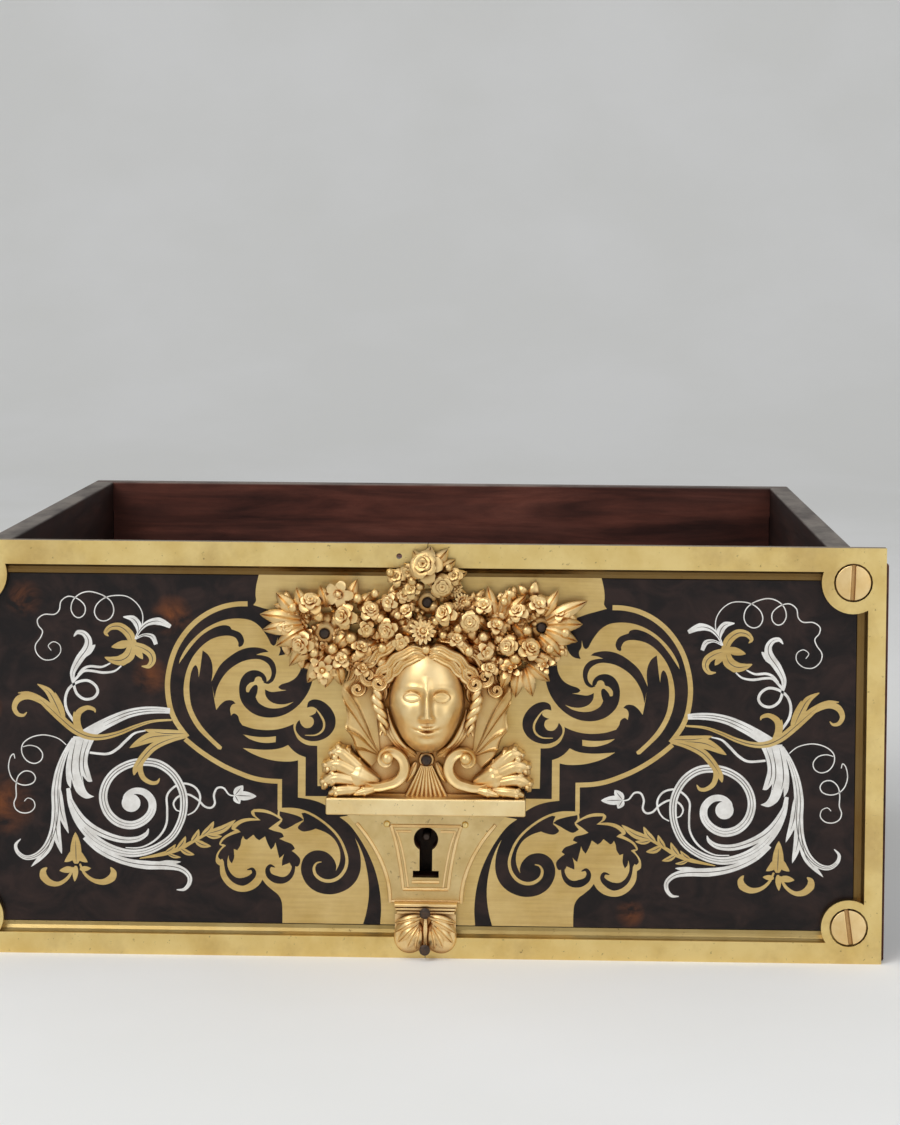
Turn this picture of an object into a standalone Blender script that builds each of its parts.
"""A drawer with a marquetry front, gilt bronze mounts and a lock, taken out of its cabinet.

The frame is +X to the right, +Y to the back and +Z up, in metres. The origin is at the middle of
the drawer's box, on the surface that it stands on. Flat outlines are drawn in one of three planes:
"front" holds (x, z), "side" holds (y, z) and "plan" holds (x, y). While a piece is drawn, x is counted
from the middle line of the mounts, which stands right of the drawer's middle; solid() sets it over.
"""

import math

import bmesh
import bpy
from mathutils import Matrix, Vector

# Clearances
SEAT = 0.0003
RUN = 0.0004
THROUGH = 0.002

# The bronze frame round the front
FRAME_WIDTH = 0.413
FRAME_HEIGHT = 0.183
FRAME_TOP_BAR = 0.0105
FRAME_BOTTOM_BAR = 0.0092
FRAME_SIDE_BAR = 0.0078
FRAME_COVE = 0.0042
PANEL_SINK = 0.0044
FRAME_OVER_WOOD = 0.0050
COVE_STEPS = 4

# How far the mounts, the lock and the marquetry stand right of the drawer's middle
MOUNTS_RIGHT = 0.0065

# A small hole through the top bar, left of the bouquet
PIN_HOLE_RADIUS = 0.00125
PIN_HOLE_X = -0.0125
PIN_HOLE_FROM_TOP = 0.0055

# The ears in its corners, and the big screws through them
EAR_RADIUS = {"top": 0.0137, "bottom": 0.0121}
EAR_FROM_SIDE = 0.0144
EAR_FROM_EDGE = {"top": 0.0152, "bottom": 0.0160}
EAR_STEPS = 40
FRAME_SCREW_HEAD_RADIUS = 0.0082
FRAME_SCREW_HEAD_THICK = 0.0030
FRAME_SCREW_SHANK_RADIUS = 0.0028
SCREW_SLOT_SHARE = 0.16
SCREW_SLOT_DEPTH = 0.0010

# The wooden box
VENEER_THICK = 0.0016
BOARD_THICK = 0.020
BOARD_LIP = 0.0018
BOARD_BELOW_SIDES = 0.0024
BOX_INSET = 0.0094
BOX_INNER_DEPTH = 0.354
SIDE_THICK = 0.011
BACK_THICK = 0.012
BOTTOM_THICK = 0.007
BOTTOM_RISE = 0.008
GROOVE_DEPTH = 0.004
WOOD_EDGE = 0.0009

# Dovetails: the side boards carry the tails
TAIL_COUNT = 3
TAIL_LAP = 0.013
TAIL_SLOPE = 1 / 6
TAIL_SHARE = 0.62
TAIL_LOWEST = 0.026
TAIL_TOP_MARGIN = 0.006
TAIL_ROOT = 0.001

# Nails that hold the bottom board up to the back board
NAIL_COUNT = 3
NAIL_RADIUS = 0.0010
NAIL_HEAD_RADIUS = 0.0025
NAIL_HEAD_THICK = 0.0008
NAIL_LENGTH = 0.020
NAIL_FROM_SIDE = 0.060

# The marquetry: a brass cartouche and two pewter scrolls let into the turtle shell
CARTOUCHE_LOBE_OVERLAP = 0.0155
SCROLL_FIELD = 0.0785
CARTOUCHE_LOBE_RADIUS = 0.0355
CARTOUCHE_LOBE_HEIGHT = 0.1185
CARTOUCHE_FOOT_RADIUS = 0.0175
CARTOUCHE_FOOT_HEIGHT = 0.0460
LOBE_STEPS = 48
VOLUTE_OUTER_RADIUS = 0.0255
VOLUTE_INNER_RADIUS = 0.0050
VOLUTE_TURNS = 1.6
VOLUTE_RIBBON = 0.0036
VOLUTE_TAPER = 0.3
VOLUTE_HEIGHT = 0.0680
VOLUTE_STEPS = 44

# The mount stack, from the bottom bar of the frame upwards
DROP_HALF_WIDTH = 0.0136
DROP_BOTTOM = 0.0015
DROP_TOP = 0.0240
DROP_PROJECTION = 0.0060
ESCUTCHEON_THICK = 0.0036
ESCUTCHEON_TOP_HALF = 0.0360
ESCUTCHEON_FOOT_HALF = 0.0165
ESCUTCHEON_HEIGHT = 0.0400
CORNICE_HALF_WIDTH = 0.0437
CORNICE_HEIGHT = 0.0075
CORNICE_PROJECTION = 0.0125
MOUNT_SCREW_RADIUS = 0.0011
MOUNT_SCREW_HEAD_RADIUS = 0.0024
MOUNT_SCREW_HEAD_THICK = 0.0012
ESCUTCHEON_PIN_RADIUS = 0.0008
ESCUTCHEON_PIN_HEAD_RADIUS = 0.0015
ESCUTCHEON_PIN_X = 0.0172

# The mask mount that stands on the cornice
MASK_PROJECTION = 0.0210
MASK_PLATE_THICK = 0.0050
MASK_BASE_HALF = 0.0455
MASK_BASE_HEIGHT = 0.0210
MASK_MANTLE_HALF = 0.0370
MASK_MANTLE_HEIGHT = 0.0560
HEAD_HALF_WIDTH = 0.0185
HEAD_HALF_HEIGHT = 0.0255
HEAD_RISE = 0.0390
WREATH_HALF_WIDTH = 0.0660
WREATH_RISE = 0.0745
WREATH_ARCH = 0.0060
WREATH_BLOSSOMS = 9
WREATH_BLOSSOM_RADIUS = 0.0120
WREATH_TIP_RADIUS = 0.0080
BOUQUET_RISE = 0.0985
BOUQUET_RADIUS = 0.0090
MASK_LEFT_SCREW_X = -0.0450
MASK_LEFT_SCREW_RISE = 0.0709
MASK_RIGHT_SCREW_X = 0.0500
MASK_RIGHT_SCREW_RISE = 0.0745
MASK_TOP_SCREW_RISE = 0.0850
MASK_CHIN_SCREW_RISE = 0.0155
MASK_SCREW_SINK = 0.0050

# The keyhole
KEY_BELOW_CORNICE = 0.0120
KEYHOLE_ROUND_RADIUS = 0.0054
KEYHOLE_STEM_HALF = 0.0028
KEYHOLE_FOOT_HALF = 0.0057
KEYHOLE_FOOT_HEIGHT = 0.0030
KEYHOLE_DROP = 0.0170
KEYHOLE_STEPS = 20

# The lock, let into the back of the front board and shooting down
LOCK_HALF_WIDTH = 0.032
LOCK_ABOVE_KEY = 0.0325
LOCK_DEPTH = 0.0125
LOCK_PLATE_THICK = 0.002
SELVEDGE_THICK = 0.0024
BOLT_THROW = 0.008
BOLT_HEAD_HALF = 0.014
BOLT_SHOULDER = 0.0030
BOLT_HEAD_THICK = 0.007
BOLT_TAIL_THICK = 0.003
BOLT_TAIL_NEAR = 0.010
BOLT_TAIL_WIDTH = 0.012
TALON_DEPTH = 0.005
TALON_HALF_HEIGHT = 0.005
GUIDE_HEIGHT = 0.005
GUIDE_WALL = 0.0026
GUIDE_MARGIN = 0.002
SPRING_THICK = 0.0010
SPRING_BOW = 0.0045
SPRING_LENGTH = 0.022
SPRING_STEPS = 14
DRILL_PIN_RADIUS = 0.0020
CAP_THICK = 0.0015
CAP_HALF_HEIGHT = 0.0200
LOCK_SCREW_INSET = 0.0045
LOCK_SCREW_LOW = 0.0200
LOCK_SCREW_RADIUS = 0.0014
LOCK_SCREW_HEAD_RADIUS = 0.0030
LOCK_SCREW_HEAD_THICK = 0.0012
LOCK_SCREW_COVER = 0.0030

ROUND_STEPS = 20

# The mount screws stop short of the lock's recess, and the frame screws short of the dovetails
MOUNT_SCREW_GRIP = BOARD_THICK - LOCK_DEPTH - 5 * SEAT
FRAME_SCREW_GRIP = BOARD_THICK - TAIL_LAP - 5 * SEAT
LOCK_SCREW_LENGTH = BOARD_THICK - LOCK_SCREW_COVER

# Planes across the depth, worked out from the sizes above
OVERALL_DEPTH = MASK_PROJECTION + PANEL_SINK + VENEER_THICK + BOARD_THICK + BOX_INNER_DEPTH + BACK_THICK
Y_FRAME = MASK_PROJECTION - OVERALL_DEPTH / 2
Y_PANEL = Y_FRAME + PANEL_SINK
Y_BOARD = Y_PANEL + VENEER_THICK
Y_BOARD_BACK = Y_BOARD + BOARD_THICK
Y_BACK_INNER = Y_BOARD_BACK + BOX_INNER_DEPTH
Y_BACK = Y_BACK_INNER + BACK_THICK
Y_MASK = Y_FRAME - MASK_PROJECTION

# Places on the front and in the box, worked out the same way
BOX_TOP = FRAME_HEIGHT - FRAME_OVER_WOOD
BOARD_TOP = BOX_TOP - BOARD_BELOW_SIDES
BOX_HALF = FRAME_WIDTH / 2 - BOX_INSET
INNER_HALF = BOX_HALF - SIDE_THICK
BOARD_HALF = FRAME_WIDTH / 2 + BOARD_LIP
PANEL_HALF = FRAME_WIDTH / 2 - FRAME_SIDE_BAR - FRAME_COVE
PANEL_LOW = FRAME_BOTTOM_BAR + FRAME_COVE
PANEL_HIGH = FRAME_HEIGHT - FRAME_TOP_BAR - FRAME_COVE
BOTTOM_TOP = BOTTOM_RISE + BOTTOM_THICK
LOBE_X = PANEL_HALF - SCROLL_FIELD - CARTOUCHE_LOBE_RADIUS
CARTOUCHE_COLUMN = LOBE_X - CARTOUCHE_LOBE_OVERLAP
FOOT_X = LOBE_X - CARTOUCHE_FOOT_RADIUS / 4
VOLUTE_X = PANEL_HALF - SCROLL_FIELD / 2 - VOLUTE_OUTER_RADIUS / 2
ESCUTCHEON_TOP = DROP_TOP + SEAT + ESCUTCHEON_HEIGHT
CORNICE_LOW = ESCUTCHEON_TOP + SEAT
KEY_HEIGHT = CORNICE_LOW - KEY_BELOW_CORNICE
CORNICE_TOP = CORNICE_LOW + CORNICE_HEIGHT
MASK_BASE = CORNICE_TOP + SEAT
HEAD_HEIGHT = MASK_BASE + HEAD_RISE
LOCK_TOP = KEY_HEIGHT + LOCK_ABOVE_KEY
Y_LOCK_INSIDE = Y_BOARD_BACK - LOCK_PLATE_THICK - RUN
GUIDE_LOWER = KEY_HEIGHT - KEYHOLE_DROP - GUIDE_MARGIN - GUIDE_HEIGHT
GUIDE_UPPER = KEY_HEIGHT + KEYHOLE_DROP + GUIDE_MARGIN
SIDES = {"left": -1, "right": 1}


def clear_scene():
    for obj in list(bpy.data.objects):
        bpy.data.objects.remove(obj)


def finish(name, colour, roughness, metallic):
    """A material in one colour."""
    material = bpy.data.materials.new(name)
    material.use_nodes = True
    shader = material.node_tree.nodes["Principled BSDF"]
    shader.inputs["Base Color"].default_value = (*colour, 1)
    shader.inputs["Roughness"].default_value = roughness
    shader.inputs["Metallic"].default_value = metallic
    return material


# Points, outlines and solids
def place(plane, u, v, across):
    """The point (u, v) of a plane, that far across it."""
    return {
        "front": Vector((u, across, v)),
        "side": Vector((across, u, v)),
        "plan": Vector((u, v, across)),
    }[plane]


def arc(centre, radius, start, end, steps):
    """Points round a centre, from one angle to another, in degrees."""
    angles = [math.radians(start + (end - start) * i / steps) for i in range(steps + 1)]
    return [(centre[0] + radius * math.cos(a), centre[1] + radius * math.sin(a)) for a in angles]


def mirrored(half):
    """A whole outline from its right half, which starts and ends on the middle line or beside it."""
    return half + [(-u, v) for u, v in reversed(half)]


def beside(sign, distance):
    """x at that distance to one side of the drawer's own middle."""
    return sign * distance - MOUNTS_RIGHT


def add_prism(bm, outline, plane, start, end):
    """Adds a solid with that flat outline, run across its plane from start to end."""
    face = bm.faces.new([bm.verts.new(place(plane, u, v, start)) for u, v in outline])
    run = bmesh.ops.extrude_face_region(bm, geom=[face])
    moved = [item for item in run["geom"] if isinstance(item, bmesh.types.BMVert)]
    bmesh.ops.translate(bm, verts=moved, vec=place(plane, 0, 0, end - start))


def add_block(bm, low, high):
    made = bmesh.ops.create_cube(bm, size=1)
    size = Vector(high) - Vector(low)
    bmesh.ops.scale(bm, verts=made["verts"], vec=size)
    bmesh.ops.translate(bm, verts=made["verts"], vec=(Vector(low) + Vector(high)) / 2)


def add_turned(bm, profile, base, along):
    """Adds a turned solid: (radius, distance) points from base along an axis, from the axis to the axis."""
    turn = Vector((0, 0, 1)).rotation_difference(Vector(along)).to_matrix().to_4x4()
    for vert in bm.verts:
        vert.tag = True
    verts = [bm.verts.new((radius, 0, distance)) for radius, distance in profile]
    edges = [bm.edges.new(pair) for pair in zip(verts, verts[1:])]
    bmesh.ops.spin(
        bm,
        geom=verts + edges,
        axis=(0, 0, 1),
        cent=(0, 0, 0),
        angle=math.tau,
        steps=ROUND_STEPS,
        use_merge=True,
    )
    made = [v for v in bm.verts if not v.tag]
    bmesh.ops.remove_doubles(bm, verts=made, dist=1e-6)
    made = [v for v in bm.verts if not v.tag]
    bmesh.ops.transform(bm, matrix=Matrix.Translation(base) @ turn, verts=made)


def add_rod(bm, base, along, radius, length):
    add_turned(bm, [(0, 0), (radius, 0), (radius, length), (0, length)], base, along)


def add_ball(bm, centre, radii, subdivisions):
    made = bmesh.ops.create_icosphere(bm, subdivisions=subdivisions, radius=1)
    bmesh.ops.scale(bm, verts=made["verts"], vec=radii)
    bmesh.ops.translate(bm, verts=made["verts"], vec=centre)


def solid(name, bm, material, smooth=False):
    """A named object from the finished mesh, set over into place, with its faces pointing out."""
    bmesh.ops.translate(bm, verts=bm.verts, vec=(MOUNTS_RIGHT, 0, 0))
    bmesh.ops.recalc_face_normals(bm, faces=bm.faces)
    mesh = bpy.data.meshes.new(name)
    bm.to_mesh(mesh)
    bm.free()
    if smooth:
        mesh.shade_smooth()
        mesh.set_sharp_from_angle(angle=math.radians(35))
    if material:
        mesh.materials.append(material)
    obj = bpy.data.objects.new(name, mesh)
    bpy.context.scene.collection.objects.link(obj)
    return obj


def combine(obj, bm, label, operation):
    """Cuts a hidden tool out of an object, or joins it on."""
    tool = solid(f"{obj.name}_{label}", bm, None)
    tool.hide_render = True
    tool.display_type = "WIRE"
    modifier = obj.modifiers.new(label, "BOOLEAN")
    modifier.operation = operation
    modifier.object = tool


def cut(obj, bm, label):
    combine(obj, bm, label, "DIFFERENCE")


def join(obj, bm, label):
    combine(obj, bm, label, "UNION")


def bevel(bm, edges, width):
    bmesh.ops.bevel(bm, geom=edges, offset=width, segments=2, profile=0.5, affect="EDGES", material=-1)


def block(name, low, high, material, edge):
    bm = bmesh.new()
    add_block(bm, low, high)
    bevel(bm, bm.edges[:], edge)
    return solid(name, bm, material)


def prism(name, outline, plane, start, end, material):
    bm = bmesh.new()
    add_prism(bm, outline, plane, start, end)
    return solid(name, bm, material)


# The wooden box
def tail_outlines(root, end, grow):
    """The tails of one end of a side board, as (y, z) outlines. They flare from root to end."""
    pitch = (BOX_TOP - TAIL_TOP_MARGIN - TAIL_LOWEST) / TAIL_COUNT
    flare = abs(end - root) * TAIL_SLOPE
    start = root + math.copysign(TAIL_ROOT, root - end)
    past = end + math.copysign(grow, end - root)
    outlines = []
    for i in range(TAIL_COUNT):
        middle = TAIL_LOWEST + pitch * (i + 0.5)
        wide = pitch * TAIL_SHARE / 2 + grow
        neck = wide - flare
        outlines.append([
            (start, middle - neck),
            (start, middle + neck),
            (past, middle + wide),
            (past, middle - wide),
        ])
    return outlines


def side_ends():
    """Where the tails of a side board start and stop: in the front board, and through the back board."""
    return (Y_BOARD_BACK, Y_BOARD_BACK - TAIL_LAP), (Y_BACK_INNER, Y_BACK)


def runs_along_top(edge):
    """True of the long upper edges of a side board."""
    first, second = edge.verts
    return min(first.co.z, second.co.z) > BOX_TOP / 2 and first.co.y != second.co.y


def side_board(side, material):
    sign = SIDES[side]
    inner, outer = beside(sign, INNER_HALF), beside(sign, BOX_HALF)
    bm = bmesh.new()
    front, back = Y_BOARD_BACK + SEAT, Y_BACK_INNER - SEAT
    add_block(bm, (min(inner, outer), front, 0), (max(inner, outer), back, BOX_TOP))
    bevel(bm, [edge for edge in bm.edges if runs_along_top(edge)], WOOD_EDGE)
    obj = solid(f"{side}_side", bm, material)
    for (root, end), label in zip(side_ends(), ("front_tails", "back_tails")):
        tails = bmesh.new()
        for outline in tail_outlines(root, end, 0):
            add_prism(tails, outline, "side", inner, outer)
        join(obj, tails, label)
    foot = bmesh.new()
    add_block(
        foot,
        (min(inner, outer), back - THROUGH, 0),
        (max(inner, outer), Y_BACK, TAIL_LOWEST - 2 * SEAT),
    )
    join(obj, foot, "back_foot")
    groove = bmesh.new()
    wall = beside(sign, INNER_HALF + GROOVE_DEPTH)
    near = beside(sign, INNER_HALF - THROUGH)
    add_block(
        groove,
        (min(near, wall), Y_BOARD_BACK - THROUGH, BOTTOM_RISE - SEAT),
        (max(near, wall), Y_BACK + THROUGH, BOTTOM_TOP + SEAT),
    )
    cut(obj, groove, "bottom_groove")


def tail_sockets(bm, root, end):
    """Room for the tails of both sides in the board that they join."""
    for sign in SIDES.values():
        inner = beside(sign, INNER_HALF - SEAT)
        outer = beside(sign, BOX_HALF + SEAT)
        for outline in tail_outlines(root, end, SEAT):
            add_prism(bm, outline, "side", inner, outer)


def keyhole_outline(grow=0.0):
    """A round head over a straight stem with a wider foot."""
    stem = KEYHOLE_STEM_HALF + grow
    head = KEYHOLE_ROUND_RADIUS + grow
    foot = KEYHOLE_FOOT_HALF + grow
    low = KEY_HEIGHT - KEYHOLE_DROP - grow
    ledge = low + KEYHOLE_FOOT_HEIGHT + 2 * grow
    meet = math.degrees(math.asin(stem / head))
    head_points = arc((0, KEY_HEIGHT), head, meet - 90, 270 - meet, KEYHOLE_STEPS)
    foot_points = [(-foot, ledge), (-foot, low), (foot, low), (foot, ledge)]
    return [(-stem, ledge), *foot_points, (stem, ledge), *head_points]


def front_board(material):
    obj = block(
        "front_board",
        (beside(-1, BOARD_HALF), Y_BOARD, 0),
        (beside(1, BOARD_HALF), Y_BOARD_BACK, BOARD_TOP),
        material,
        WOOD_EDGE,
    )
    holes = bmesh.new()
    tail_sockets(holes, *side_ends()[0])
    for x, z, radius, length in board_screws():
        add_rod(holes, (x, Y_BOARD - THROUGH, z), (0, 1, 0), radius + SEAT, length + THROUGH + SEAT)
    cut(obj, holes, "sockets_and_screw_holes")
    groove = bmesh.new()
    reach = INNER_HALF + GROOVE_DEPTH
    add_block(
        groove,
        (beside(-1, reach), Y_BOARD_BACK - GROOVE_DEPTH, BOTTOM_RISE - SEAT),
        (beside(1, reach), Y_BOARD_BACK + THROUGH, BOTTOM_TOP + SEAT),
    )
    cut(obj, groove, "bottom_groove")
    recess = bmesh.new()
    half = LOCK_HALF_WIDTH + SEAT
    add_block(
        recess,
        (-half, Y_BOARD_BACK - LOCK_DEPTH, -THROUGH),
        (half, Y_BOARD_BACK + THROUGH, LOCK_TOP + SEAT),
    )
    cut(obj, recess, "lock_recess")
    keyhole = bmesh.new()
    add_prism(keyhole, keyhole_outline(), "front", Y_BOARD - THROUGH, Y_BOARD_BACK - LOCK_DEPTH + THROUGH)
    cut(obj, keyhole, "keyhole")
    pilots = bmesh.new()
    for x, z in lock_screw_places():
        start = (x, Y_BOARD_BACK, z)
        add_rod(pilots, start, (0, -1, 0), LOCK_SCREW_RADIUS + SEAT, LOCK_SCREW_LENGTH + SEAT)
    cut(obj, pilots, "lock_screw_holes")


def nail_places():
    """(x, y) of each nail, along the middle of the back board's lower edge."""
    reach = INNER_HALF - NAIL_FROM_SIDE
    step = 2 * reach / (NAIL_COUNT - 1)
    return [(beside(-1, reach) + step * i, Y_BACK_INNER + BACK_THICK / 2) for i in range(NAIL_COUNT)]


def add_nail_holes(bm):
    for x, y in nail_places():
        profile = [
            (0, -THROUGH),
            (NAIL_HEAD_RADIUS + SEAT, -THROUGH),
            (NAIL_HEAD_RADIUS + SEAT, NAIL_HEAD_THICK + SEAT),
            (NAIL_RADIUS + SEAT, NAIL_HEAD_THICK + SEAT),
            (NAIL_RADIUS + SEAT, NAIL_LENGTH + SEAT),
            (0, NAIL_LENGTH + SEAT),
        ]
        add_turned(bm, profile, (x, y, BOTTOM_RISE), (0, 0, 1))


def back_board(material):
    obj = block(
        "back_board",
        (beside(-1, BOX_HALF), Y_BACK_INNER, BOTTOM_TOP + SEAT),
        (beside(1, BOX_HALF), Y_BACK, BOX_TOP),
        material,
        WOOD_EDGE,
    )
    sockets = bmesh.new()
    tail_sockets(sockets, *side_ends()[1])
    cut(obj, sockets, "tail_sockets")
    holes = bmesh.new()
    add_nail_holes(holes)
    cut(obj, holes, "nail_holes")
    ledge = bmesh.new()
    for sign in SIDES.values():
        near, far = beside(sign, INNER_HALF - SEAT), beside(sign, BOX_HALF + THROUGH)
        add_block(
            ledge,
            (min(near, far), Y_BACK_INNER - THROUGH, 0),
            (max(near, far), Y_BACK + THROUGH, TAIL_LOWEST - SEAT),
        )
    cut(obj, ledge, "groove_clearance")


def bottom_board(material):
    """The bottom lies in the grooves, runs under the back and is cut back round the lock."""
    half = INNER_HALF + GROOVE_DEPTH - SEAT
    front, behind_lock = Y_BOARD_BACK - GROOVE_DEPTH + SEAT, Y_BOARD_BACK + SEAT
    notch = LOCK_HALF_WIDTH + SEAT
    left, right = beside(-1, half), beside(1, half)
    outline = [
        (notch, behind_lock),
        (notch, front),
        (right, front),
        (right, Y_BACK),
        (left, Y_BACK),
        (left, front),
        (-notch, front),
        (-notch, behind_lock),
    ]
    obj = prism("bottom_board", outline, "plan", BOTTOM_RISE, BOTTOM_TOP, material)
    holes = bmesh.new()
    add_nail_holes(holes)
    cut(obj, holes, "nail_holes")


def bottom_nails(material):
    for label, (x, y) in zip(("left", "centre", "right"), nail_places()):
        bm = bmesh.new()
        profile = [
            (0, 0),
            (NAIL_HEAD_RADIUS, 0),
            (NAIL_HEAD_RADIUS, NAIL_HEAD_THICK),
            (NAIL_RADIUS, NAIL_HEAD_THICK),
            (NAIL_RADIUS, NAIL_LENGTH),
            (0, NAIL_LENGTH),
        ]
        add_turned(bm, profile, (x, y, BOTTOM_RISE), (0, 0, 1))
        solid(f"bottom_nail_{label}", bm, material, smooth=True)


# Screws and pins of the front
def ear_places():
    """Name, x, z and ear radius of each corner of the frame."""
    for edge, z in (("top", FRAME_HEIGHT - EAR_FROM_EDGE["top"]), ("bottom", EAR_FROM_EDGE["bottom"])):
        for side, sign in SIDES.items():
            yield f"{edge}_{side}", beside(sign, FRAME_WIDTH / 2 - EAR_FROM_SIDE), z, EAR_RADIUS[edge]


def mask_screw_places():
    return {
        "left": (MASK_LEFT_SCREW_X, MASK_BASE + MASK_LEFT_SCREW_RISE),
        "right": (MASK_RIGHT_SCREW_X, MASK_BASE + MASK_RIGHT_SCREW_RISE),
        "top": (0, MASK_BASE + MASK_TOP_SCREW_RISE),
        "chin": (0, MASK_BASE + MASK_CHIN_SCREW_RISE),
    }


def drop_screw_places():
    """One screw through the top fillet of the drop, and one through the tip of its leaf."""
    return {
        "upper": (0, DROP_TOP - 1.1 * MOUNT_SCREW_HEAD_RADIUS),
        "lower": (0, DROP_BOTTOM + 1.5 * MOUNT_SCREW_HEAD_RADIUS),
    }


def escutcheon_pin_places():
    height = ESCUTCHEON_TOP - ESCUTCHEON_HEIGHT / 8
    return {side: (sign * ESCUTCHEON_PIN_X, height) for side, sign in SIDES.items()}


def board_screws():
    """x, z, radius and depth in the wood of every screw and pin that enters the front board's face."""
    found = [(x, z, FRAME_SCREW_SHANK_RADIUS, FRAME_SCREW_GRIP) for _, x, z, _ in ear_places()]
    for x, z in [*mask_screw_places().values(), *drop_screw_places().values()]:
        found.append((x, z, MOUNT_SCREW_RADIUS, MOUNT_SCREW_GRIP))
    for x, z in escutcheon_pin_places().values():
        found.append((x, z, ESCUTCHEON_PIN_RADIUS, MOUNT_SCREW_GRIP / 2))
    return found


def add_mount_holes(bm):
    """Room for the shanks of the mount screws and pins, right through the mounts and the veneer."""
    length = Y_BOARD - Y_MASK + 2 * THROUGH
    for x, z in [*mask_screw_places().values(), *drop_screw_places().values()]:
        add_rod(bm, (x, Y_MASK - THROUGH, z), (0, 1, 0), MOUNT_SCREW_RADIUS + SEAT, length)
    for x, z in escutcheon_pin_places().values():
        add_rod(bm, (x, Y_MASK - THROUGH, z), (0, 1, 0), ESCUTCHEON_PIN_RADIUS + SEAT, length)


def slotted_screw(name, head_radius, head_thick, shank_radius, length, base, along, material):
    """A screw with a flat head. Its base is the middle of the head's face."""
    bm = bmesh.new()
    profile = [
        (0, 0),
        (head_radius, 0),
        (head_radius, head_thick),
        (shank_radius, head_thick),
        (shank_radius, length),
        (0, length),
    ]
    add_turned(bm, profile, base, along)
    obj = solid(name, bm, material, smooth=True)
    slot = bmesh.new()
    half = head_radius * SCREW_SLOT_SHARE
    face = Vector(base)
    low = face + Vector((-half, -SCREW_SLOT_DEPTH, -head_radius * 1.2))
    high = face + Vector((half, SCREW_SLOT_DEPTH, head_radius * 1.2))
    add_block(slot, low, high)
    cut(obj, slot, "slot")


# The bronze frame
def bar_section(outside, inward):
    """Section of a bar as (depth, place) points, with a cove on the side towards the panel."""
    flat, sign = inward
    inner = outside + sign * flat
    panel = inner + sign * FRAME_COVE
    cove = []
    for i in range(COVE_STEPS + 1):
        turn = math.radians(90 * i / COVE_STEPS)
        cove.append((Y_FRAME + PANEL_SINK * math.sin(turn), panel - sign * FRAME_COVE * math.cos(turn)))
    return [(Y_FRAME, outside), *cove, (Y_BOARD - SEAT, panel), (Y_BOARD - SEAT, outside)]


def frame_half(side, material):
    """One half of the frame. The halves meet on the mounts' line, behind the bouquet and the drop."""
    sign = SIDES[side]
    joint, end = sign * SEAT / 2, beside(sign, FRAME_WIDTH / 2)
    bm = bmesh.new()
    add_prism(bm, bar_section(FRAME_HEIGHT, (FRAME_TOP_BAR, -1)), "side", joint, end)
    obj = solid(f"frame_{side}_half", bm, material)
    lower = bmesh.new()
    add_prism(lower, bar_section(0, (FRAME_BOTTOM_BAR, 1)), "side", joint, end)
    join(obj, lower, "bottom_bar")
    upright = bmesh.new()
    section = [(x, y) for y, x in bar_section(end, (FRAME_SIDE_BAR, -sign))]
    add_prism(upright, section, "plan", 0, FRAME_HEIGHT)
    join(obj, upright, "side_bar")
    length = Y_BOARD - Y_FRAME + THROUGH
    head = FRAME_SCREW_HEAD_RADIUS + SEAT
    shank = FRAME_SCREW_SHANK_RADIUS + SEAT
    seat = FRAME_SCREW_HEAD_THICK + SEAT
    profile = [(0, -THROUGH), (head, -THROUGH), (head, seat), (shank, seat), (shank, length), (0, length)]
    holes = bmesh.new()
    for edge, x, z, radius in ear_places():
        if not edge.endswith(side):
            continue
        ear = bmesh.new()
        add_prism(ear, arc((x, z), radius, 0, 360, EAR_STEPS)[:-1], "front", Y_FRAME, Y_BOARD - SEAT)
        join(obj, ear, f"ear_{edge}")
        add_turned(holes, profile, (x, Y_FRAME, z), (0, 1, 0))
    add_mount_holes(holes)
    pin_hole = (PIN_HOLE_X, Y_FRAME - THROUGH, FRAME_HEIGHT - PIN_HOLE_FROM_TOP)
    add_rod(holes, pin_hole, (0, 1, 0), PIN_HOLE_RADIUS, length + THROUGH)
    cut(obj, holes, "screw_and_pin_holes")


def frame_screws(material):
    for edge, x, z, _ in ear_places():
        slotted_screw(
            f"frame_screw_{edge}",
            FRAME_SCREW_HEAD_RADIUS,
            FRAME_SCREW_HEAD_THICK,
            FRAME_SCREW_SHANK_RADIUS,
            Y_BOARD - Y_FRAME + FRAME_SCREW_GRIP,
            (x, Y_FRAME, z),
            (0, 1, 0),
            material,
        )


# The marquetry
def shell_outline(sign):
    """The veneer from the cartouche out to the frame on one side, cut away round the ears."""
    x = sign * beside(sign, FRAME_WIDTH / 2 - EAR_FROM_SIDE)
    panel_end = sign * beside(sign, PANEL_HALF - SEAT)
    lower, upper = (x, EAR_FROM_EDGE["bottom"]), (x, FRAME_HEIGHT - EAR_FROM_EDGE["top"])
    low, high = PANEL_LOW + SEAT, PANEL_HIGH - SEAT
    points = [(CARTOUCHE_COLUMN + SEAT, high), (CARTOUCHE_COLUMN + SEAT, low)]
    for edge, centre, rim in (("bottom", lower, low), ("top", upper, high)):
        inward = 1 if edge == "bottom" else -1
        radius = EAR_RADIUS[edge] + SEAT
        at_rim = math.degrees(math.asin((rim - centre[1]) * inward / radius))
        at_side = math.degrees(math.acos((panel_end - centre[0]) / radius))
        corner = arc(centre, radius, inward * (180 - at_rim), inward * at_side, EAR_STEPS // 2)
        points.extend(corner[::inward])
    return [(sign * u, v) for u, v in points]


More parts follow.
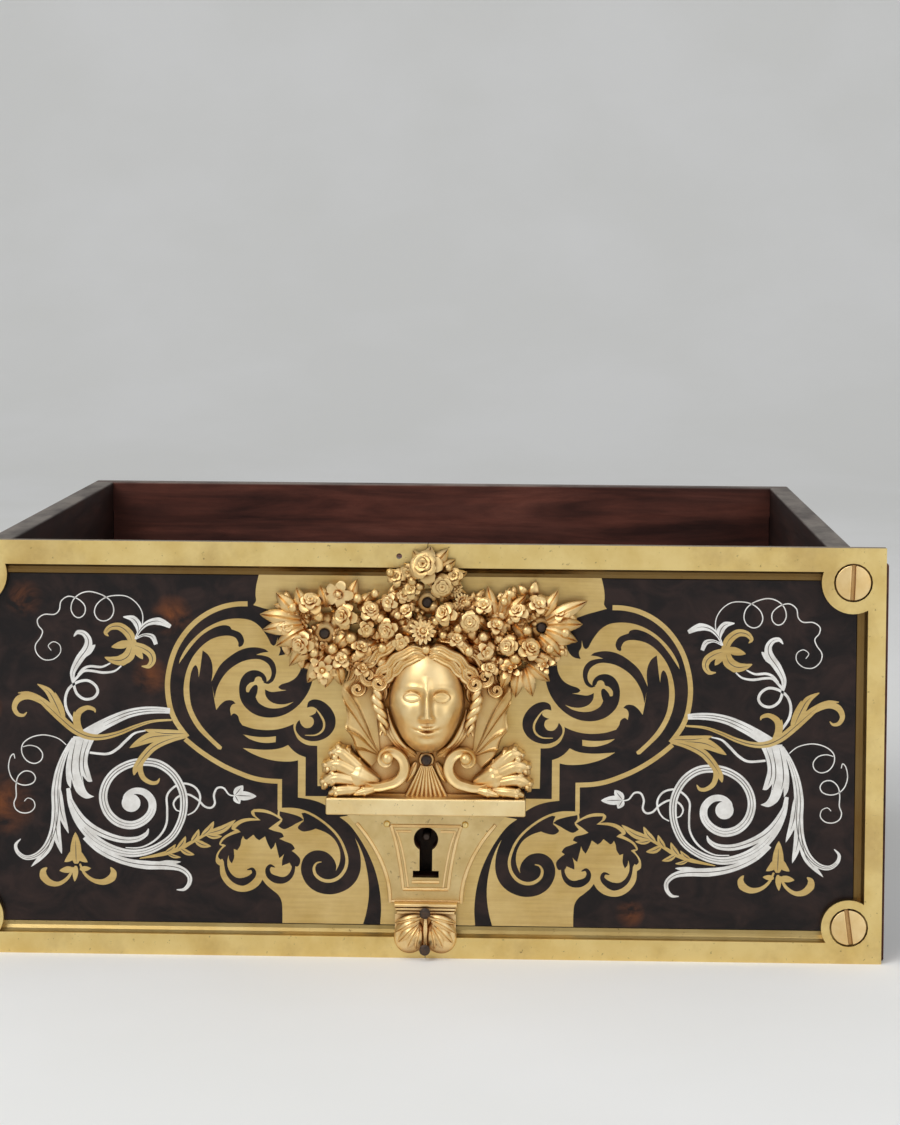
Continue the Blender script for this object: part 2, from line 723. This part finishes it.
def spiral_ribbon(sign, grow):
    """A volute that winds inwards, as the outline of a ribbon that narrows to its eye."""
    outer, inner = [], []
    past = grow / VOLUTE_INNER_RADIUS / math.tau / VOLUTE_TURNS
    for i in range(VOLUTE_STEPS + 1):
        share = i / VOLUTE_STEPS
        if i == 0:
            share -= past
        if i == VOLUTE_STEPS:
            share += past
        angle = math.radians(-90) - math.tau * VOLUTE_TURNS * share
        radius = VOLUTE_OUTER_RADIUS + (VOLUTE_INNER_RADIUS - VOLUTE_OUTER_RADIUS) * share
        half = VOLUTE_RIBBON / 2 * (1 - VOLUTE_TAPER * share) + grow
        for edge, reach in ((outer, radius + half), (inner, radius - half)):
            x = VOLUTE_X + reach * math.cos(angle)
            edge.append((sign * x, VOLUTE_HEIGHT + reach * math.sin(angle)))
    return outer + list(reversed(inner))


def add_cartouche_lobe(bm, sign, grow, height, radius, x):
    ring = arc((sign * x, height), radius + grow, 0, 360, LOBE_STEPS)[:-1]
    add_prism(bm, ring, "front", Y_PANEL - grow, Y_BOARD - SEAT + grow)


def brass_cartouche(material):
    half = CARTOUCHE_COLUMN
    low, high = PANEL_LOW + SEAT, PANEL_HIGH - SEAT
    column = [(-half, low), (half, low), (half, high), (-half, high)]
    obj = prism("brass_cartouche", column, "front", Y_PANEL, Y_BOARD - SEAT, material)
    for label, height, radius, x in (
        ("scroll_lobes", CARTOUCHE_LOBE_HEIGHT, CARTOUCHE_LOBE_RADIUS, LOBE_X),
        ("foot_lobes", CARTOUCHE_FOOT_HEIGHT, CARTOUCHE_FOOT_RADIUS, FOOT_X),
    ):
        lobes = bmesh.new()
        for sign in SIDES.values():
            add_cartouche_lobe(lobes, sign, 0, height, radius, x)
        join(obj, lobes, label)
    keyhole = bmesh.new()
    add_prism(keyhole, keyhole_outline(), "front", Y_PANEL - THROUGH, Y_BOARD + THROUGH)
    cut(obj, keyhole, "keyhole")
    holes = bmesh.new()
    add_mount_holes(holes)
    cut(obj, holes, "mount_holes")


def shell_grounds(material):
    for side, sign in SIDES.items():
        obj = prism(
            f"shell_ground_{side}", shell_outline(sign), "front", Y_PANEL, Y_BOARD - SEAT, material
        )
        for label, height, radius, x in (
            ("scroll_lobe", CARTOUCHE_LOBE_HEIGHT, CARTOUCHE_LOBE_RADIUS, LOBE_X),
            ("foot_lobe", CARTOUCHE_FOOT_HEIGHT, CARTOUCHE_FOOT_RADIUS, FOOT_X),
        ):
            lobe = bmesh.new()
            add_cartouche_lobe(lobe, sign, SEAT, height, radius, x)
            cut(obj, lobe, label)
        volute = bmesh.new()
        add_prism(volute, spiral_ribbon(sign, SEAT), "front", Y_PANEL - THROUGH, Y_BOARD + THROUGH)
        cut(obj, volute, "volute")


def pewter_volutes(material):
    for side, sign in SIDES.items():
        prism(
            f"pewter_volute_{side}", spiral_ribbon(sign, 0), "front", Y_PANEL, Y_BOARD - SEAT, material
        )


# The mounts on the middle line
def add_bar_clearance(bm, low, high):
    """Room for a bar of the frame, its cove filled, behind a mount that laps over it."""
    half = FRAME_WIDTH / 2 + THROUGH
    add_block(bm, (-half, Y_FRAME - SEAT, low), (half, Y_BOARD + THROUGH, high))


def mount_screw(name, x, z, face, material):
    """A screw with a low head on a mount whose face is at that depth."""
    bm = bmesh.new()
    head = MOUNT_SCREW_HEAD_RADIUS
    length = Y_BOARD + MOUNT_SCREW_GRIP - face
    profile = [
        (0, -MOUNT_SCREW_HEAD_THICK),
        (head * 0.7, -MOUNT_SCREW_HEAD_THICK * 0.85),
        (head, -MOUNT_SCREW_HEAD_THICK * 0.3),
        (head, 0),
        (MOUNT_SCREW_RADIUS, 0),
        (MOUNT_SCREW_RADIUS, length),
        (0, length),
    ]
    add_turned(bm, profile, (x, face - SEAT, z), (0, 1, 0))
    solid(name, bm, material, smooth=True)


def acanthus_drop(material):
    """A pendant leaf over the bottom bar: a flat back with a swelling face."""
    reach = (DROP_TOP - DROP_BOTTOM) / 2
    face = Y_FRAME - DROP_PROJECTION
    bm = bmesh.new()
    outline = [(-DROP_HALF_WIDTH, DROP_TOP), *arc((0, DROP_BOTTOM + reach), reach, 180, 360, ROUND_STEPS)]
    outline = [(u * DROP_HALF_WIDTH / reach if v < DROP_TOP else u, v) for u, v in outline]
    outline.append((DROP_HALF_WIDTH, DROP_TOP))
    add_prism(bm, outline, "front", face, Y_PANEL - SEAT)
    obj = solid("acanthus_drop", bm, material)
    bar = bmesh.new()
    add_bar_clearance(bar, -THROUGH, PANEL_LOW + SEAT)
    cut(obj, bar, "bottom_bar_clearance")
    holes = bmesh.new()
    add_mount_holes(holes)
    cut(obj, holes, "screw_holes")


def escutcheon_outline():
    """A plate that widens in a hollow curve from the drop to the cornice."""
    low = DROP_TOP + SEAT
    widening = ESCUTCHEON_TOP_HALF - ESCUTCHEON_FOOT_HALF
    curve = []
    for i in range(ROUND_STEPS + 1):
        share = i / ROUND_STEPS
        curve.append((ESCUTCHEON_FOOT_HALF + widening * share ** 2, low + ESCUTCHEON_HEIGHT * share))
    return mirrored(curve)


def escutcheon_plate(material):
    obj = prism(
        "escutcheon_plate",
        escutcheon_outline(),
        "front",
        Y_PANEL - ESCUTCHEON_THICK,
        Y_PANEL - SEAT,
        material,
    )
    keyhole = bmesh.new()
    add_prism(keyhole, keyhole_outline(), "front", Y_PANEL - ESCUTCHEON_THICK - THROUGH, Y_PANEL + THROUGH)
    cut(obj, keyhole, "keyhole")
    holes = bmesh.new()
    add_mount_holes(holes)
    cut(obj, holes, "pin_holes")


def escutcheon_pins(material):
    for side, (x, z) in escutcheon_pin_places().items():
        bm = bmesh.new()
        head, shank = ESCUTCHEON_PIN_HEAD_RADIUS, ESCUTCHEON_PIN_RADIUS
        length = ESCUTCHEON_THICK + VENEER_THICK + MOUNT_SCREW_GRIP / 2
        profile = [
            (0, -head * 0.6),
            (head * 0.7, -head * 0.45),
            (head, 0),
            (shank, 0),
            (shank, length),
            (0, length),
        ]
        add_turned(bm, profile, (x, Y_PANEL - ESCUTCHEON_THICK - SEAT, z), (0, 1, 0))
        solid(f"escutcheon_pin_{side}", bm, material, smooth=True)


def cornice_bar(material):
    block(
        "cornice_bar",
        (-CORNICE_HALF_WIDTH, Y_PANEL - CORNICE_PROJECTION, CORNICE_LOW),
        (CORNICE_HALF_WIDTH, Y_PANEL - SEAT, CORNICE_TOP),
        material,
        CORNICE_HEIGHT / 10,
    )


def mask_mount(material):
    """Head, mantle, wreath and scrolled base as one casting, with a flat back."""
    back = Y_PANEL - SEAT
    plate_face = back - MASK_PLATE_THICK
    base_top = MASK_BASE + MASK_BASE_HEIGHT
    mantle_top = MASK_BASE + MASK_MANTLE_HEIGHT
    right = [
        (MASK_BASE_HALF, MASK_BASE),
        (MASK_BASE_HALF, base_top),
        (MASK_MANTLE_HALF * 0.8, base_top),
        (MASK_MANTLE_HALF, (base_top + mantle_top) / 2),
        (MASK_MANTLE_HALF, mantle_top + WREATH_BLOSSOM_RADIUS),
    ]
    obj = prism("mask_mount", mirrored(right), "front", plate_face, back, material)
    head = bmesh.new()
    depth = plate_face - Y_MASK
    add_ball(head, (0, plate_face, HEAD_HEIGHT), (HEAD_HALF_WIDTH, depth, HEAD_HALF_HEIGHT), 3)
    join(obj, head, "head")
    for i in range(WREATH_BLOSSOMS):
        share = 2 * i / (WREATH_BLOSSOMS - 1) - 1
        radius = WREATH_BLOSSOM_RADIUS + (WREATH_TIP_RADIUS - WREATH_BLOSSOM_RADIUS) * abs(share)
        height = MASK_BASE + WREATH_RISE - WREATH_ARCH * math.sin(math.pi * abs(share))
        blossom = bmesh.new()
        add_ball(blossom, (WREATH_HALF_WIDTH * share, back - radius * 0.4, height), (radius,) * 3, 2)
        join(obj, blossom, f"blossom_{i}")
    stem = bmesh.new()
    stem_height = MASK_BASE + WREATH_RISE
    stem_half = WREATH_TIP_RADIUS / 2
    add_block(
        stem,
        (-WREATH_HALF_WIDTH, plate_face, stem_height - stem_half),
        (WREATH_HALF_WIDTH, back + THROUGH, stem_height + stem_half),
    )
    join(obj, stem, "wreath_stem")
    bouquet = bmesh.new()
    bouquet_height = MASK_BASE + BOUQUET_RISE
    add_ball(bouquet, (0, Y_FRAME - SEAT, bouquet_height), (BOUQUET_RADIUS,) * 3, 2)
    join(obj, bouquet, "bouquet")
    stalk = bmesh.new()
    add_block(
        stalk,
        (-stem_half, plate_face - SEAT, stem_height),
        (stem_half, back + THROUGH / 2, bouquet_height),
    )
    join(obj, stalk, "bouquet_stalk")
    behind = bmesh.new()
    reach = FRAME_WIDTH / 2
    add_block(behind, (-reach, back, 0), (reach, back + 2 * MASK_PROJECTION, 2 * FRAME_HEIGHT))
    cut(obj, behind, "flat_back")
    bar = bmesh.new()
    add_bar_clearance(bar, PANEL_HIGH - SEAT, FRAME_HEIGHT + 2 * BOUQUET_RADIUS)
    cut(obj, bar, "top_bar_clearance")
    holes = bmesh.new()
    add_mount_holes(holes)
    cut(obj, holes, "screw_holes")
    wells = bmesh.new()
    for x, z in mask_screw_places().values():
        well = MOUNT_SCREW_HEAD_RADIUS + SEAT
        add_rod(wells, (x, Y_PANEL - MASK_SCREW_SINK, z), (0, -1, 0), well, MASK_PROJECTION * 2)
    cut(obj, wells, "screw_wells")


def mount_screws(material):
    for label, (x, z) in mask_screw_places().items():
        mount_screw(f"mask_screw_{label}", x, z, Y_PANEL - MASK_SCREW_SINK, material)
    for label, (x, z) in drop_screw_places().items():
        mount_screw(f"drop_screw_{label}", x, z, Y_FRAME - DROP_PROJECTION, material)


# The lock
def lock_screw_places():
    x = LOCK_HALF_WIDTH - LOCK_SCREW_INSET
    return [(sign * x, z) for z in (LOCK_SCREW_LOW, LOCK_TOP - LOCK_SCREW_INSET) for sign in (-1, 1)]


def lock_plate(material):
    """The back plate and its selvedge, which lies in the board's lower edge."""
    bm = bmesh.new()
    inside = Y_BOARD_BACK - LOCK_PLATE_THICK
    front = Y_BOARD_BACK - LOCK_DEPTH + SEAT
    section = [
        (Y_BOARD_BACK, SEAT),
        (Y_BOARD_BACK, LOCK_TOP),
        (inside, LOCK_TOP),
        (inside, SELVEDGE_THICK),
        (front, SELVEDGE_THICK),
        (front, SEAT),
    ]
    add_prism(bm, section, "side", -LOCK_HALF_WIDTH, LOCK_HALF_WIDTH)
    obj = solid("lock_plate", bm, material)
    slot = bmesh.new()
    half = BOLT_HEAD_HALF + RUN
    add_block(
        slot,
        (-half, Y_LOCK_INSIDE - BOLT_HEAD_THICK - RUN, -THROUGH),
        (half, Y_LOCK_INSIDE + RUN / 2, SELVEDGE_THICK + THROUGH),
    )
    cut(obj, slot, "bolt_slot")
    holes = bmesh.new()
    for x, z in lock_screw_places():
        head, shank = LOCK_SCREW_HEAD_RADIUS + SEAT, LOCK_SCREW_RADIUS + SEAT
        seat, length = LOCK_SCREW_HEAD_THICK + SEAT, LOCK_PLATE_THICK + THROUGH
        profile = [(0, -THROUGH), (head, -THROUGH), (head, seat), (shank, seat), (shank, length), (0, length)]
        add_turned(holes, profile, (x, Y_BOARD_BACK, z), (0, -1, 0))
    start = (0, Y_BOARD_BACK + THROUGH, KEY_HEIGHT)
    add_rod(holes, start, (0, -1, 0), DRILL_PIN_RADIUS + SEAT, LOCK_PLATE_THICK + 2 * THROUGH)
    cut(obj, holes, "screw_and_pin_holes")


def lock_bolt(material):
    """A wide head in the selvedge slot, and a tail that runs up past the key with a notch for its bit."""
    near, far = -BOLT_TAIL_NEAR, -BOLT_TAIL_NEAR - BOLT_TAIL_WIDTH
    low = 2 * SEAT
    shoulder = SELVEDGE_THICK + BOLT_THROW + RUN
    head_top = shoulder + BOLT_SHOULDER
    tail_top = GUIDE_UPPER + GUIDE_HEIGHT + GUIDE_MARGIN + BOLT_THROW / 2
    bottom_talon, top_talon = KEY_HEIGHT - TALON_HALF_HEIGHT, KEY_HEIGHT + TALON_HALF_HEIGHT
    tail = [
        (near, low + SELVEDGE_THICK),
        (near, bottom_talon),
        (near - TALON_DEPTH, bottom_talon),
        (near - TALON_DEPTH, top_talon),
        (near, top_talon),
        (near, tail_top),
        (far, tail_top),
        (far, shoulder),
        (-BOLT_HEAD_HALF + RUN, shoulder),
        (-BOLT_HEAD_HALF + RUN, low + SELVEDGE_THICK),
    ]
    obj = prism("lock_bolt", tail, "front", Y_LOCK_INSIDE - BOLT_TAIL_THICK, Y_LOCK_INSIDE, material)
    head = bmesh.new()
    add_block(
        head,
        (-BOLT_HEAD_HALF, Y_LOCK_INSIDE - BOLT_HEAD_THICK, low),
        (BOLT_HEAD_HALF, Y_LOCK_INSIDE, head_top),
    )
    join(obj, head, "head")


def bolt_guides(material):
    """Two staples on the plate that hold the tail of the bolt."""
    near = -BOLT_TAIL_NEAR + RUN
    far = -BOLT_TAIL_NEAR - BOLT_TAIL_WIDTH - RUN
    foot = Y_BOARD_BACK - LOCK_PLATE_THICK - SEAT
    under = Y_LOCK_INSIDE - BOLT_TAIL_THICK - RUN
    top = under - GUIDE_WALL
    outline = [
        (near + GUIDE_WALL, foot),
        (near + GUIDE_WALL, top),
        (far - GUIDE_WALL, top),
        (far - GUIDE_WALL, foot),
        (far, foot),
        (far, under),
        (near, under),
        (near, foot),
    ]
    for label, low in (("lower", GUIDE_LOWER), ("upper", GUIDE_UPPER)):
        prism(f"bolt_guide_{label}", outline, "plan", low, low + GUIDE_HEIGHT, material)


def bolt_spring(material):
    """A bowed leaf that rides on the edge of the bolt's tail and gives the bolt its friction."""
    edge = -BOLT_TAIL_NEAR - BOLT_TAIL_WIDTH - SEAT
    top = KEY_HEIGHT + SPRING_LENGTH / 2
    outer, inner = [], []
    for i in range(SPRING_STEPS + 1):
        share = i / SPRING_STEPS
        bow = SPRING_BOW * math.sin(math.pi * share)
        z = top - SPRING_LENGTH * share
        inner.append((edge - bow, z))
        outer.append((edge - bow - SPRING_THICK, z))
    low, high = Y_LOCK_INSIDE - BOLT_TAIL_THICK, Y_LOCK_INSIDE
    prism("bolt_spring", inner + list(reversed(outer)), "front", low, high, material)


def drill_pin(material):
    """The round pin that a piped key turns on. It stands in the plate and shows in the keyhole."""
    bm = bmesh.new()
    length = BOARD_THICK
    tip = DRILL_PIN_RADIUS * 0.5
    profile = [
        (0, 0),
        (DRILL_PIN_RADIUS, 0),
        (DRILL_PIN_RADIUS, length - tip),
        (DRILL_PIN_RADIUS * 0.6, length),
        (0, length),
    ]
    add_turned(bm, profile, (0, Y_BOARD_BACK - SEAT, KEY_HEIGHT), (0, -1, 0))
    solid("drill_pin", bm, material, smooth=True)


def lock_cap(material):
    """A bent plate over the key's path, with its own keyhole."""
    far = LOCK_HALF_WIDTH - SEAT
    foot = Y_BOARD_BACK - LOCK_PLATE_THICK - SEAT
    face = Y_BOARD_BACK - LOCK_DEPTH + SEAT
    under = face + CAP_THICK
    right = [(far - CAP_THICK, under), (far - CAP_THICK, foot), (far, foot), (far, face)]
    low = KEY_HEIGHT - CAP_HALF_HEIGHT
    obj = prism("lock_cap", mirrored(right), "plan", low, low + 2 * CAP_HALF_HEIGHT, material)
    keyhole = bmesh.new()
    add_prism(keyhole, keyhole_outline(), "front", face - THROUGH, under + THROUGH)
    cut(obj, keyhole, "keyhole")


def lock_screws(material):
    labels = ("lower_left", "lower_right", "upper_left", "upper_right")
    for label, (x, z) in zip(labels, lock_screw_places()):
        slotted_screw(
            f"lock_screw_{label}",
            LOCK_SCREW_HEAD_RADIUS,
            LOCK_SCREW_HEAD_THICK,
            LOCK_SCREW_RADIUS,
            LOCK_SCREW_LENGTH,
            (x, Y_BOARD_BACK, z),
            (0, -1, 0),
            material,
        )


def main():
    clear_scene()
    walnut = finish("walnut", (0.075, 0.034, 0.022), 0.55, 0.0)
    gilt = finish("gilt_bronze", (0.72, 0.50, 0.20), 0.32, 1.0)
    brass = finish("engraved_brass", (0.68, 0.52, 0.25), 0.38, 1.0)
    pewter = finish("pewter", (0.70, 0.69, 0.66), 0.42, 1.0)
    shell = finish("turtle_shell", (0.030, 0.018, 0.015), 0.22, 0.0)
    steel = finish("dark_steel", (0.16, 0.14, 0.13), 0.45, 1.0)

    front_board(walnut)
    for side in SIDES:
        side_board(side, walnut)
        frame_half(side, gilt)
    back_board(walnut)
    bottom_board(walnut)
    bottom_nails(steel)
    frame_screws(gilt)
    shell_grounds(shell)
    brass_cartouche(brass)
    pewter_volutes(pewter)
    acanthus_drop(gilt)
    escutcheon_plate(gilt)
    escutcheon_pins(gilt)
    cornice_bar(gilt)
    mask_mount(gilt)
    mount_screws(steel)
    lock_plate(steel)
    lock_bolt(steel)
    bolt_guides(steel)
    bolt_spring(steel)
    drill_pin(steel)
    lock_cap(steel)
    lock_screws(steel)


main()
